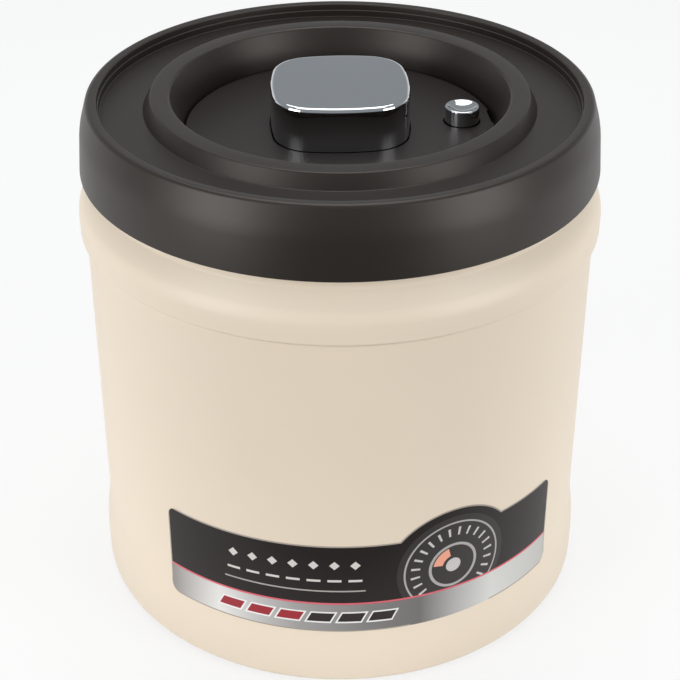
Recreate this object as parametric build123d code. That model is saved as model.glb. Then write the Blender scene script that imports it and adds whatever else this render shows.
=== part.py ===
from build123d import *
import os
from math import atan2, cos, degrees, pi, radians, sin, sqrt

# Vacuum seal canister: a steel-lined food jar whose lid holds a small hand pump.
# Pressing the square button drives a piston. Two soft one-way valves let it draw
# air out of the jar. Pressing the round button opens a plug and lets air back in.
# Millimetres, +Z up. The origin is the centre of the base, on the standing surface.
# The release button lies towards +X, and the label faces -Y.

# Gaps and cutting
overrun = 1.0  # how far a cut reaches past what it cuts
fit_gap = 0.05  # round a piece that is pressed, glued or clipped to another
slide_gap = 0.1  # round a seal, and above a stop that a spring holds up
lid_seat_gap = 0.05  # between the lid and the mouth it rests on
screw_play = 0.3  # round a screw's shank where it passes through
pilot_gap = 0.05  # round a screw's shank where it bites

# Outer shell: a moulded sleeve with a raised band near its top and a flared base
foot_stand = 0.6  # the foot ring holds the shell off the surface
body_height = 138.2  # from the surface to the shoulder under the lid
shell_wall = 2.2
base_flare = 1.4  # how far the base stands out of the wall
base_flare_low = 13.4  # above the shell's bottom edge
base_flare_rise = 10.3
flare_round = 30.0
base_wall = 3.0  # of the flared base
base_edge_round = 2.6
band_stand = 1.7  # how far the band stands out of the wall
band_step_rise = 1.3
band_rise = 7.6
band_step_round = 0.2
band_low_round = 1.0
band_high_round = 7.5
shoulder_rise = 11.7  # from the band to the top of the shoulder
fold_drop = 5.2  # from the top of the shoulder down to the fold where its cone starts
fold_round = 1.0
shoulder_edge_round = 0.2
shoulder_land = 0.25  # flat ring that shows round the neck ring's skirt
neck_rise = 6.2
neck_wall = 1.6
neck_edge_round = 0.3
lip_gap = 0.3  # between the shoulder and the neck ring's skirt

# Base cover and foot ring
base_inset = 0.6  # above the shell's bottom edge
base_plate = 2.4
base_rim_rise = 6.0
base_rim_wall = 1.8
base_corner_round = 0.8
foot_inset = 10.0  # from the shell's side to the middle of the foot ring
foot_width = 4.6
foot_groove_depth = 1.0
foot_edge_round = 0.5

# Steel liner, its gasket and the neck ring
liner_wall = 0.5
liner_gap = 0.4  # between the liner and the shell's neck
liner_clearance = 3.0  # above the base cover
liner_corner_round = 9.5
flange_bend = 0.6
flange_inset = 0.2
gasket_thickness = 0.8
gasket_inset = 0.1
ring_wall = 1.5
ring_top = 2.7
ring_inset = 0.4
ring_edge_round = 0.7

# Label: a die-cut sticker with a round bulge in its top edge
label_thickness = 0.2
label_low = 20.0
label_height = 31.2
label_left_angle = -134.6
label_right_angle = -36.3
label_corner_round = 3.5
bulge_angle = -66.7
bulge_radius = 21.8
bulge_centre_drop = 14.1  # below the label's top edge

# Lid cover: skirt, rim, channel, ridge and bowl, all one shell
lid_overhang = 0.5  # how far the lid stands out past the shell's wall
skirt_overlap = 1.3  # how far the skirt hangs below the shoulder
skirt_wall = 2.0
skirt_draft = 0.95
skirt_edge_round = 0.3
skirt_foot_round = 0.3
rim_bend_drop = 3.5  # from the channel's floor down to where the side starts to turn in
rim_turn = 2.25
rim_bend_round = 22.0
rim_rise = 4.25
rim_width = 3.05
rim_fall = 0.25
rim_edge_round = 1.4
rim_inner_round = 0.5
rim_wall_lean = 0.45
channel_width = 12.4
channel_outer_round = 0.3
channel_inner_round = 0.4
cover_wall = 2.2
ridge_rise = 4.2
ridge_width = 5.4
ridge_lean = 2.2
ridge_outer_round = 0.7
ridge_inner_round = 0.9
bowl_depth = 6.3  # from the channel's floor down to the disc
bowl_slope = 3.6
bowl_bend_lean = 2.4
bowl_bend_drop = 5.8
bowl_round = 20.0
bowl_foot_drop = 0.2
bowl_shelf_wall = 2.0
bowl_shelf_width = 7.7
lid_play = 0.9  # between the skirt and the neck ring

# Disc in the bowl
disc_gap = 0.5
disc_margin = 4.3  # from the release button to the disc's edge
disc_thickness = 2.0
disc_edge_round = 0.4
disc_rim_width = 1.2
disc_rim_depth = 1.9
button_gap = 0.35
release_gap = 0.4
notch_angle = 3.4
notch_width = 8.7
notch_depth = 1.0
hook_angles = [60.0, 120.0, 240.0, 300.0]
hook_width = 8.0
hook_wall = 1.5
hook_gap = 0.3
hook_lip = 1.1
hook_lip_rise = 1.2

# Lid base: the lower moulding with the plug that enters the liner
base_flange = 2.45
flange_play = 0.25
plug_play = 1.9
plug_depth = 17.45
plug_wall = 3.4
plug_edge_round = 1.2
plug_floor = 2.0
plug_floor_round = 1.0
seal_groove_drop = 4.75
seal_groove_height = 5.0
seal_groove_depth = 1.7
well_gap = 1.0
well_wall = 1.6
well_floor = 2.0
well_round = 0.5
boss_wall = 2.1
rib_thickness = 1.6
rib_rise = 4.0
screw_boss_wall = 1.6
screw_boss_depth = 4.0
screw_boss_skin = 1.0

# Main seal: ring with two fins
fin_thickness = 0.5
fin_lean = 0.8
fin_root_thickness = 1.8
seal_body_depth = 1.5
fin_gap = 0.7

# Lid screws
lid_screw_count = 6
lid_screw_angle = 30.0
lid_screw_inset = 4.5
lid_screw_shank = 1.3
lid_screw_head = 2.4
lid_screw_head_rise = 1.6
lid_screw_tip_gap = 1.35  # above the plug's floor
recess_width_share = 0.3
recess_depth_share = 0.55

# Pump button and the carrier inside it
button_bow = 60.0  # radius of each bowed side
button_corner = 11.4
button_rise = 13.0  # above the disc
button_edge_round = 1.3
button_wall = 1.2
button_roof = 1.4
pump_stroke = 11.0
stop_lip = 1.2
stop_thickness = 1.3
carrier_wall = 1.4
carrier_roof = 1.6
carrier_boss = 5.6
carrier_boss_rise = 3.2
counterbore_depth = 2.2
head_gap = 0.4
button_screw_shank = 1.2
button_screw_head = 3.0
button_screw_head_rise = 1.7
button_screw_length = 7.0

# Pump cylinder, its gasket and its screws
cylinder_bore = 15.0
cylinder_wall = 1.5
cylinder_floor = 1.8
cylinder_skirt = 3.0
cylinder_edge_round = 0.3
cylinder_flange = 2.0
cylinder_flange_gap = 0.6
cylinder_flange_edge = 1.7374  # outside the screw heads
cylinder_head_room = 1.8  # between the cylinder's wall and the screw heads
cylinder_hole_gap = 0.3
cylinder_gasket = 0.8
gasket_lap = 0.4
cylinder_screw_count = 4
cylinder_screw_angle = 45.0
cylinder_screw_shank = 1.2
cylinder_screw_head = 2.1
cylinder_screw_head_rise = 1.5
cylinder_screw_length = 7.0
head_clearance = 0.6  # between the carrier at full stroke and the screw heads

# Piston, its seal and its post
piston_gap = 0.35
piston_height = 5.0
piston_top_drop = 0.9
piston_rim = 3.25
piston_web = 1.8
piston_web_lift = 1.4
piston_edge_round = 0.3
piston_groove_lift = 1.2
piston_groove_height = 2.6
piston_groove_depth = 1.75
post_radius = 9.2
post_wall = 1.6
post_chamber_rise = 7.3
post_round = 0.6
window_count = 4
window_width = 5.0
window_lift = 2.0
window_height = 3.6
lip_body_width = 0.6
lip_notch_rise = 1.3
lip_gap_low = 0.15

# Umbrella valves
valve_neck = 1.2
valve_bulb = 1.8
valve_bulb_rise = 1.1
valve_disc = 6.0
valve_disc_edge = 0.35
valve_disc_rise = 0.9
valve_crown = 1.6
vent_count = 6
vent_radius = 0.9
vent_place = 3.8

# Springs
pump_wire = 0.9
pump_spring_radius = 10.2
pump_spring_turns = 6
pump_spring_closed = 5.5  # height left under the piston at full stroke
release_wire = 0.45
release_spring_radius = 3.2
release_spring_turns = 7
spring_seat_gap = 0.05

# Filter cap and pad
cap_wall = 1.3
cap_floor = 1.6
cap_grip = 5.1
cap_edge_round = 0.8
cap_hole = 1.0
cap_hole_rings = {1: 0.0, 6: 5.0, 12: 10.0}
filter_thickness = 1.4
filter_gap = 0.3

# Release button, stem and plug
release_radius = 5.0
release_rise = 4.7
release_dish_depth = 1.2
release_rim = 0.7
release_edge_round = 0.25
release_solid = 5.5
release_depth = 9.0
release_wall = 1.0
release_stroke = 2.5
release_stop_gap = 0.5
release_spacing = 3.26  # between the pump's well and the release housing
release_housing_bore = 4.1
release_housing_wall = 1.5
release_hole = 2.0
stem_radius = 1.4
stem_grip = 3.0
stem_foot_radius = 2.2
stem_foot_rise = 0.9
plug_radius = 4.2
plug_rise = 2.1
plug_round = 0.4

# Heights, from the surface up
z_shell = foot_stand
z_base = z_shell + base_inset
z_groove = z_base + foot_groove_depth
z_base_top = z_base + base_plate
z_liner = z_base_top + liner_clearance
z_liner_floor = z_liner + liner_wall
z_shoulder = body_height
z_fold = z_shoulder - fold_drop
z_band_high = z_shoulder - shoulder_rise
z_band_low = z_band_high - band_rise
z_band_step = z_band_low - band_step_rise
z_flare_low = z_shell + base_flare_low
z_flare_high = z_flare_low + base_flare_rise
z_neck = z_shoulder + neck_rise
z_liner_flange = z_neck + gasket_thickness
z_liner_top = z_liner_flange + liner_wall
z_mouth = z_liner_top + ring_top

z_lid = z_shoulder - skirt_overlap
z_seat = z_mouth + lid_seat_gap
z_flange_top = z_seat + base_flange
z_channel = z_flange_top + cover_wall
z_rim_bend = z_channel - rim_bend_drop
z_rim = z_channel + rim_rise
z_ridge = z_channel + ridge_rise
z_disc = z_channel - bowl_depth
z_disc_low = z_disc - disc_thickness
z_shelf = z_disc_low - disc_rim_depth
z_shelf_low = z_shelf - bowl_shelf_wall
z_plug = z_seat - plug_depth
z_plug_floor = z_plug + plug_floor
lid_screw_length = z_shelf - z_plug_floor - lid_screw_tip_gap
z_seal_high = z_seat - seal_groove_drop
z_seal_low = z_seal_high - seal_groove_height

z_button = z_disc + button_rise
z_stop = z_disc_low - slide_gap
z_carrier = z_stop - stop_thickness
z_carrier_roof = z_button - button_roof - fit_gap
z_carrier_under = z_carrier_roof - carrier_roof
z_carrier_boss = z_carrier_under - carrier_boss_rise
z_screw_heads = z_carrier - pump_stroke - head_clearance
z_cylinder_flange = z_screw_heads - cylinder_screw_head_rise
z_cylinder_flange_low = z_cylinder_flange - cylinder_flange
z_well = z_cylinder_flange_low - cylinder_gasket
z_well_low = z_well - well_floor
z_piston_top = z_carrier - piston_top_drop
z_piston = z_piston_top - piston_height
z_cylinder_floor = z_piston - pump_stroke - pump_spring_closed
z_cylinder_floor_low = z_cylinder_floor - cylinder_floor
z_cylinder_low = z_cylinder_floor_low - cylinder_skirt
z_web = z_piston + piston_web_lift
z_web_top = z_web + piston_web
z_cap = z_cylinder_low - cap_floor
z_cap_top = z_cylinder_low + cap_grip

z_release = z_disc + release_rise
z_release_solid = z_release - release_solid
z_release_low = z_release - release_depth
z_housing = z_release_low - release_stroke - release_stop_gap
z_release_plug = z_plug - plug_rise

# Radii and places, from the pump's bore outwards to the shell's wall
cylinder_outer = cylinder_bore + cylinder_wall
cylinder_screw_place = cylinder_outer + cylinder_head_room + cylinder_screw_head
cylinder_flange_radius = cylinder_screw_place + cylinder_screw_head + cylinder_flange_edge
well_radius = cylinder_flange_radius + cylinder_flange_gap
stop_reach = well_radius - well_gap
button_centre = (stop_reach - stop_lip - button_corner) / sqrt(2)
button_side = sqrt((button_bow - button_corner) ** 2 - button_centre ** 2) - button_centre
button_half = button_bow - button_side
housing_radius = release_housing_bore + release_housing_wall
release_place = well_radius + well_wall + release_spacing + housing_radius
disc_radius = release_place + release_radius + disc_margin
bowl_radius = disc_radius + disc_gap
ridge_inner = bowl_radius + bowl_slope
ridge_outer = ridge_inner + ridge_width
ridge_foot = ridge_outer + ridge_lean
channel_outer = ridge_foot + channel_width
rim_inner = channel_outer + rim_wall_lean
rim_outer = rim_inner + rim_width
skirt_top_radius = rim_outer + rim_turn
lid_radius = skirt_top_radius + skirt_draft
wall_radius = lid_radius - lid_overhang
base_radius = wall_radius + base_flare
band_radius = wall_radius + band_stand

# Radii, from the lid's skirt inwards to its plug
ring_outer = skirt_top_radius - skirt_wall - lid_play
ring_bore = ring_outer - ring_wall
neck_outer = ring_bore - fit_gap
neck_inner = neck_outer - neck_wall
shoulder_radius = ring_outer + shoulder_land
liner_outer = neck_inner - liner_gap
liner_inner = liner_outer - liner_wall
liner_flange = neck_outer - flange_inset
seal_radius = liner_inner - slide_gap
plug_outer = liner_inner - plug_play
plug_inner = plug_outer - plug_wall
seal_groove = plug_outer - seal_groove_depth

# Radii that hang on those
base_cover_radius = base_radius - base_wall - fit_gap
foot_radius = base_radius - foot_inset
shelf_inner = bowl_radius - bowl_shelf_width
lid_screw_place = bowl_radius - lid_screw_inset
lid_boss_radius = lid_screw_shank + boss_wall
cylinder_boss_radius = cylinder_screw_shank + screw_boss_wall


def turned(*outline):
    """Revolve a closed outline of (radius, height, corner radius) points about Z."""
    points = [(radius, 0, height) for radius, height, _ in outline]
    rounds = [corner for _, _, corner in outline]
    return revolve(Face(FilletPolyline(*points, radius=rounds, close=True)), Axis.Z)


def rod(radius, low, high, x=0.0, y=0.0):
    """Make an upright rod between two heights."""
    return Pos(x, y, low) * extrude(Circle(radius), high - low)


def ring_of(count, radius, first_angle=0.0):
    """List the (x, y, angle) places of a round pattern."""
    angles = [first_angle + 360.0 * index / count for index in range(count)]
    return [(radius * cos(radians(a)), radius * sin(radians(a)), a) for a in angles]


def bowed_square(half, bow, corner, low, high):
    """Make an upright prism whose section is a square with bowed sides and round corners."""
    side = bow - half
    centre = (sqrt(2 * (bow - corner) ** 2 - side ** 2) - side) / 2
    lean = degrees(atan2(centre, centre + side))
    edges = []
    for quarter in range(4):
        facing = Rot(0, 0, 90 * quarter)
        edges.append(facing * CenterArc((-side, 0), bow, -lean, 2 * lean))
        edges.append(facing * CenterArc((centre, centre), corner, lean, 90 - 2 * lean))
    return Pos(0, 0, low) * extrude(make_face(edges), high - low)


def button_prism(grow, low, high):
    """Make a prism with the pump button's section, grown or shrunk evenly."""
    return bowed_square(button_half + grow, button_bow + grow, button_corner + grow, low, high)


def arc_pair(start, start_way, end, end_way):
    """Join two points by two arcs that meet both directions and each other smoothly."""
    chord = end - start
    both = start_way + end_way
    turn = 1 - start_way.dot(end_way)
    reach = (sqrt(chord.dot(both) ** 2 + 2 * turn * chord.dot(chord)) - chord.dot(both)) / (2 * turn)
    middle = (start + end + (start_way - end_way) * reach) * 0.5
    first = TangentArc(start, middle, tangent=start_way)
    return [first, TangentArc(middle, end, tangent=first % 1)]


def coil_spring(radius, wire, turns, low, high, x=0.0):
    """Wind one unbroken wire, and print the least gap between its turns."""
    pitch = (high - low - wire) / turns
    rise = pitch / 4
    first = low + wire / 2

    def place(step):
        angle = pi / 2 * step
        return Vector(x + radius * cos(angle), radius * sin(angle), first + rise * step)

    def way(step):
        angle = pi / 2 * step
        return Vector(-radius * sin(angle), radius * cos(angle), rise * 2 / pi).normalized()

    path = []
    for step in range(4 * turns):
        path += arc_pair(place(step), way(step), place(step + 1), way(step + 1))
    section = Plane(origin=place(0), z_dir=way(0)) * Circle(wire / 2)
    samples = [place(step / 8) for step in range(32 * turns + 1)]
    gaps = [(a - b).length for i, a in enumerate(samples) for b in samples[i + 16:]]
    print("spring of", turns, "turns: least gap", round(min(gaps) - wire, 2), "mm")
    return sweep(section, path=Wire([piece.edge() for piece in path]))


def screw(shank, head, head_rise, length, x, y, seat):
    """Make a pan-head screw, its head on the seat, with a cross recess."""
    body = turned(
        (0, seat - length, 0),
        (shank, seat - length, shank / 2),
        (shank, seat, 0),
        (head, seat, 0),
        (head, seat + head_rise, head_rise / 2),
        (0, seat + head_rise, 0),
    )
    depth = head_rise * recess_depth_share
    slot = extrude(Rectangle(head * 1.2, head * recess_width_share), depth + overrun)
    cross = slot + Rot(0, 0, 90) * slot
    return Pos(x, y) * (body - Pos(0, 0, seat + head_rise - depth) * cross)


def umbrella_valve(web_low, web_high):
    """Make a soft one-way valve: bulb under the web, neck through it, disc on top."""
    low = web_low - fit_gap
    high = web_high + fit_gap
    return turned(
        (0, low - valve_bulb_rise, 0),
        (valve_bulb, low - valve_bulb_rise, valve_bulb_rise / 2),
        (valve_bulb, low, 0),
        (valve_neck, low, 0),
        (valve_neck, high, 0),
        (valve_disc, high, 0),
        (valve_disc, high + valve_disc_edge, 0),
        (valve_crown, high + valve_disc_rise, 0),
        (0, high + valve_disc_rise, 0),
    )


def valve_holes(low, high):
    """Make the cut for an umbrella valve: a hole for its neck and a ring of vents."""
    cut = rod(valve_neck + fit_gap, low, high)
    for x, y, _ in ring_of(vent_count, vent_place):
        cut += rod(vent_radius, low, high, x, y)
    return cut


def shell_side(grow=0.0):
    """List the outside of the shell, from the bottom edge to the shoulder."""
    return [
        (base_radius + grow, z_shell, base_edge_round),
        (base_radius + grow, z_flare_low, flare_round),
        (wall_radius + grow, z_flare_high, flare_round),
        (wall_radius + grow, z_band_step, band_step_round),
        (band_radius + grow, z_band_low, band_low_round),
        (band_radius + grow, z_band_high, band_high_round),
        (shoulder_radius + grow, z_fold, fold_round),
        (shoulder_radius + grow, z_shoulder, shoulder_edge_round),
    ]


def outer_shell():
    """Moulded sleeve, open at both ends, with a neck at the top."""
    steepness = (z_fold - z_band_high) / (band_radius - shoulder_radius)
    z_inside = z_band_high - shell_wall * sqrt(1 + steepness ** 2)
    return turned(
        *shell_side(),
        (neck_outer, z_shoulder, 0),
        (neck_outer, z_neck, neck_edge_round),
        (neck_inner, z_neck, neck_edge_round),
        (neck_inner, z_inside + (band_radius - neck_inner) * steepness, 0),
        (band_radius - shell_wall, z_inside + shell_wall * steepness, 0),
        (band_radius - shell_wall, z_band_low, 0),
        (wall_radius - shell_wall, z_band_step, 0),
        (wall_radius - shell_wall, z_flare_high, 0),
        (base_radius - base_wall, z_flare_low, 0),
        (base_radius - base_wall, z_shell, 0),
    )


def base_cover():
    """Plate glued into the bottom of the sleeve, with a groove for the foot ring."""
    z_rim = z_base_top + base_rim_rise
    rim_inside = base_cover_radius - base_rim_wall
    return turned(
        (0, z_base, 0),
        (foot_radius - foot_width / 2, z_base, 0),
        (foot_radius - foot_width / 2, z_groove, 0),
        (foot_radius + foot_width / 2, z_groove, 0),
        (foot_radius + foot_width / 2, z_base, 0),
        (base_cover_radius, z_base, 0),
        (base_cover_radius, z_rim, 0),
        (rim_inside, z_rim, 0),
        (rim_inside, z_base_top, base_corner_round),
        (0, z_base_top, 0),
    )


def foot_ring():
    """Rubber ring in the base cover's groove. The canister stands on it."""
    inner = foot_radius - foot_width / 2 + fit_gap
    outer = foot_radius + foot_width / 2 - fit_gap
    return turned(
        (inner, 0, foot_edge_round),
        (outer, 0, foot_edge_round),
        (outer, z_groove, 0),
        (inner, z_groove, 0),
    )


def steel_liner():
    """Deep-drawn cup. Its flange hangs on the shell's neck."""
    return turned(
        (0, z_liner, 0),
        (liner_outer, z_liner, liner_corner_round + liner_wall),
        (liner_outer, z_liner_flange, flange_bend),
        (liner_flange, z_liner_flange, 0),
        (liner_flange, z_liner_top, 0),
        (liner_inner, z_liner_top, flange_bend + liner_wall),
        (liner_inner, z_liner_floor, liner_corner_round),
        (0, z_liner_floor, 0),
    )


def liner_gasket():
    """Soft ring between the neck and the liner's flange."""
    inner = liner_outer + flange_bend + gasket_inset
    return turned(
        (inner, z_neck, 0),
        (liner_flange, z_neck, 0),
        (liner_flange, z_liner_flange, 0),
        (inner, z_liner_flange, 0),
    )


def neck_ring():
    """Ring pressed over the neck. It traps the liner's flange and carries the lid."""
    inner = liner_inner + ring_inset
    return turned(
        (inner, z_liner_top, 0),
        (inner, z_mouth, ring_edge_round),
        (ring_outer, z_mouth, ring_edge_round),
        (ring_outer, z_shoulder + lip_gap, 0),
        (ring_bore, z_shoulder + lip_gap, 0),
        (ring_bore, z_liner_top, 0),
    )


def label_form(grow):
    """Make the shell's outside as a solid block, grown sideways."""
    return turned((0, z_shell, 0), *shell_side(grow), (0, z_shoulder, 0))


def front_label():
    """Sticker that follows the wall, cut to its outline."""
    skin = label_form(fit_gap + label_thickness) - label_form(fit_gap)
    reach = base_radius + overrun
    span = label_right_angle - label_left_angle
    middle = (label_left_angle + label_right_angle) / 2
    top = label_low + label_height
    arc = CenterArc((0, 0), reach * 2, label_left_angle, span)
    wedge = make_face([arc, Line((0, 0), arc @ 0), Line(arc @ 1, (0, 0))])
    strip = Pos(0, 0, label_low) * extrude(wedge, label_height)
    disc = extrude(Plane.YZ * Pos(0, top - bulge_centre_drop) * Circle(bulge_radius), reach)
    tall = Pos(0, 0, label_low) * extrude(wedge, label_height + bulge_radius)
    label = skin & (strip + (Rot(0, 0, bulge_angle) * disc & tall))
    side = label_corner_round + overrun
    spandrel = Rectangle(side, side, align=(Align.MIN, Align.MIN)) - Circle(label_corner_round)
    spandrel = Pos(-label_corner_round, -label_corner_round) * spandrel
    corners = [
        (label_right_angle, top),
        (label_left_angle, top),
        (label_left_angle, label_low),
        (label_right_angle, label_low),
    ]
    for quarter, (angle, height) in enumerate(corners):
        corner = Plane.YZ * Pos(0, height) * Rot(0, 0, 90 * quarter) * spandrel
        label -= Rot(0, 0, angle) * extrude(corner, reach)
    return label


def lid_cover():
    """Top shell of the lid, from the skirt over the rim, channel and ridge to the bowl."""
    bend_radius = ridge_inner - bowl_bend_lean
    z_bend = z_ridge - bowl_bend_drop
    under_lean = ridge_lean - cover_wall
    cover = turned(
        (lid_radius, z_lid, skirt_edge_round),
        (skirt_top_radius, z_rim_bend, rim_bend_round),
        (rim_outer, z_rim, rim_edge_round),
        (rim_inner, z_rim - rim_fall, rim_inner_round),
        (channel_outer, z_channel, channel_outer_round),
        (ridge_foot, z_channel, channel_inner_round),
        (ridge_outer, z_ridge, ridge_outer_round),
        (ridge_inner, z_ridge, ridge_inner_round),
        (bend_radius, z_bend, bowl_round),
        (bowl_radius, z_disc - bowl_foot_drop, 0),
        (bowl_radius, z_shelf, 0),
        (shelf_inner, z_shelf, 0),
        (shelf_inner, z_shelf_low, 0),
        (bowl_radius + cover_wall, z_shelf_low, 0),
        (bend_radius + cover_wall, z_bend, 0),
        (ridge_inner + cover_wall, z_ridge - cover_wall, 0),
        (ridge_outer - cover_wall, z_ridge - cover_wall, 0),
        (ridge_outer + under_lean, z_flange_top, 0),
        (skirt_top_radius - skirt_wall, z_flange_top, 0),
        (lid_radius - skirt_wall, z_lid, skirt_foot_round),
    )
    for x, y, _ in ring_of(lid_screw_count, lid_screw_place, lid_screw_angle):
        cover -= rod(lid_screw_shank + screw_play, z_shelf_low - overrun, z_shelf + overrun, x, y)
    notch_radius = housing_radius + hook_gap
    return cover - rod(notch_radius, z_shelf_low - overrun, z_shelf + overrun, release_place)


def center_plate():
    """Disc in the bowl, with holes for both buttons, a pry notch and snap hooks."""
    plate = turned(
        (0, z_disc_low, 0),
        (disc_radius - disc_rim_width, z_disc_low, 0),
        (disc_radius - disc_rim_width, z_shelf, 0),
        (disc_radius, z_shelf, 0),
        (disc_radius, z_disc, disc_edge_round),
        (0, z_disc, 0),
    )
    z_lip_top = z_shelf_low - slide_gap
    z_lip = z_lip_top - hook_lip_rise
    outside = shelf_inner - hook_gap
    hook = Pos(outside - hook_wall / 2, 0, z_lip) * extrude(
        Rectangle(hook_wall, hook_width), z_disc_low - z_lip
    )
    lip = Pos(outside + hook_lip / 2 - hook_wall / 2, 0, z_lip) * extrude(
        Rectangle(hook_lip + hook_wall, hook_width), hook_lip_rise
    )
    for angle in hook_angles:
        plate += Rot(0, 0, angle) * (hook + lip)
    plate -= button_prism(button_gap, z_disc_low - overrun, z_disc + overrun)
    plate -= rod(release_radius + release_gap, z_disc_low - overrun, z_disc + overrun, release_place)
    notch = Pos(disc_radius - notch_depth, 0, z_disc_low) * extrude(
        Rectangle(notch_depth * 2, notch_width, align=(Align.MIN, Align.CENTER)),
        disc_thickness + overrun,
    )
    return plate - Rot(0, 0, notch_angle) * notch


def lid_base():
    """Lower moulding: flange, plug with the seal groove, floor, well, bosses and ribs."""
    hole = cylinder_outer + cylinder_hole_gap
    base = turned(
        (hole, z_well_low, 0),
        (well_radius + well_wall, z_well_low, well_round),
        (well_radius + well_wall, z_plug, 0),
        (plug_outer, z_plug, plug_edge_round),
        (plug_outer, z_seal_low, 0),
        (seal_groove, z_seal_low, 0),
        (seal_groove, z_seal_high, 0),
        (plug_outer, z_seal_high, 0),
        (plug_outer, z_seat, 0),
        (ring_outer - flange_play, z_seat, well_round),
        (ring_outer - flange_play, z_flange_top, 0),
        (plug_inner, z_flange_top, 0),
        (plug_inner, z_plug_floor, plug_floor_round),
        (well_radius, z_plug_floor, 0),
        (well_radius, z_well, well_round),
        (hole, z_well, 0),
    )
    z_root = z_plug + plug_floor / 2
    rib_length = plug_inner - well_radius - well_wall / 2
    rib = Pos(well_radius + well_wall / 2, 0, z_root) * extrude(
        Rectangle(rib_length + plug_wall / 2, rib_thickness, align=(Align.MIN, Align.CENTER)),
        z_plug_floor + rib_rise - z_root,
    )
    for x, y, angle in ring_of(lid_screw_count, lid_screw_place, lid_screw_angle):
        base += Rot(0, 0, angle) * rib
        base += rod(lid_boss_radius, z_root, z_shelf_low, x, y)
    for x, y, _ in ring_of(lid_screw_count, lid_screw_place, lid_screw_angle):
        base -= rod(lid_screw_shank + pilot_gap, z_plug_floor, z_shelf_low + overrun, x, y)
    base += rod(housing_radius, z_root, z_housing, release_place)
    base -= rod(release_housing_bore, z_plug_floor, z_housing + overrun, release_place)
    base -= rod(release_hole, z_plug - overrun, z_plug_floor + overrun, release_place)
    z_boss = z_well_low - screw_boss_depth
    for x, y, _ in ring_of(cylinder_screw_count, cylinder_screw_place, cylinder_screw_angle):
        base += rod(cylinder_boss_radius, z_boss, z_well_low + well_floor / 2, x, y)
        base -= rod(cylinder_screw_shank + pilot_gap, z_boss + screw_boss_skin, z_well + overrun, x, y)
    return base


def main_seal():
    """Silicone ring in the plug's groove, with two fins that wipe the liner."""
    inner = seal_groove + fit_gap
    body = inner + seal_body_depth
    low = z_seal_low + fit_gap
    high = z_seal_high - fit_gap
    middle = (low + high) / 2
    outline = [(inner, low, 0), (body, low, 0)]
    for root in (low, middle + fin_gap / 2):
        tip = root + fin_lean
        outline += [
            (seal_radius, tip, 0),
            (seal_radius, tip + fin_thickness, 0),
            (body, root + fin_root_thickness, 0),
        ]
        if root == low:
            outline.append((body, middle + fin_gap / 2, 0))
    outline.append((inner, root + fin_root_thickness, 0))
    return turned(*outline)


def lid_screws():
    """Screws from the bowl's shelf into the lid base, hidden by the disc."""
    places = ring_of(lid_screw_count, lid_screw_place, lid_screw_angle)
    sizes = (lid_screw_shank, lid_screw_head, lid_screw_head_rise, lid_screw_length)
    return Compound([screw(*sizes, x, y, z_shelf) for x, y, _ in places])


def pump_cylinder():
    """Tube with a flange. Its floor holds the intake valve."""
    cylinder = turned(
        (0, z_cylinder_floor_low, 0),
        (cylinder_bore, z_cylinder_floor_low, 0),
        (cylinder_bore, z_cylinder_low, 0),
        (cylinder_outer, z_cylinder_low, cylinder_edge_round),
        (cylinder_outer, z_cylinder_flange_low, 0),
        (cylinder_flange_radius, z_cylinder_flange_low, 0),
        (cylinder_flange_radius, z_cylinder_flange, cylinder_edge_round),
        (cylinder_outer, z_cylinder_flange, cylinder_edge_round),
        (cylinder_outer, z_carrier, cylinder_edge_round),
        (cylinder_bore, z_carrier, cylinder_edge_round),
        (cylinder_bore, z_cylinder_floor, 0),
        (0, z_cylinder_floor, 0),
    )
    cylinder -= valve_holes(z_cylinder_floor_low - overrun, z_cylinder_floor + overrun)
    low = z_cylinder_flange_low - overrun
    high = z_cylinder_flange + overrun
    for x, y, _ in ring_of(cylinder_screw_count, cylinder_screw_place, cylinder_screw_angle):
        cylinder -= rod(cylinder_screw_shank + screw_play, low, high, x, y)
    return cylinder


def cylinder_gasket_ring():
    """Soft ring that keeps air from passing between the cylinder and the lid base."""
    gasket = turned(
        (cylinder_outer + gasket_lap, z_well, 0),
        (cylinder_flange_radius, z_well, 0),
        (cylinder_flange_radius, z_cylinder_flange_low, 0),
        (cylinder_outer + gasket_lap, z_cylinder_flange_low, 0),
    )
    for x, y, _ in ring_of(cylinder_screw_count, cylinder_screw_place, cylinder_screw_angle):
        gasket -= rod(cylinder_screw_shank + screw_play, z_well - overrun, z_cylinder_flange, x, y)
    return gasket


def cylinder_screws():
    """Screws that clamp the cylinder's flange onto its gasket."""
    places = ring_of(cylinder_screw_count, cylinder_screw_place, cylinder_screw_angle)
    sizes = (
        cylinder_screw_shank,
        cylinder_screw_head,
        cylinder_screw_head_rise,
        cylinder_screw_length,
    )
    return Compound([screw(*sizes, x, y, z_cylinder_flange) for x, y, _ in places])


def filter_cap():
    """Cap with a pattern of holes, clipped over the cylinder's lower end."""
    inner = cylinder_outer + fit_gap
    cap = turned(
        (0, z_cap, 0),
        (inner + cap_wall, z_cap, cap_edge_round),
        (inner + cap_wall, z_cap_top, 0),
        (inner, z_cap_top, 0),
        (inner, z_cylinder_low, 0),
        (0, z_cylinder_low, 0),
    )
    for count, radius in cap_hole_rings.items():
        for x, y, _ in ring_of(count, radius):
            cap -= rod(cap_hole, z_cap - overrun, z_cylinder_low + overrun, x, y)
    return cap


def dust_filter():
    """Felt pad on the cap's floor, below the intake holes."""
    return rod(cylinder_bore - filter_gap, z_cylinder_low, z_cylinder_low + filter_thickness)


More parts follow.
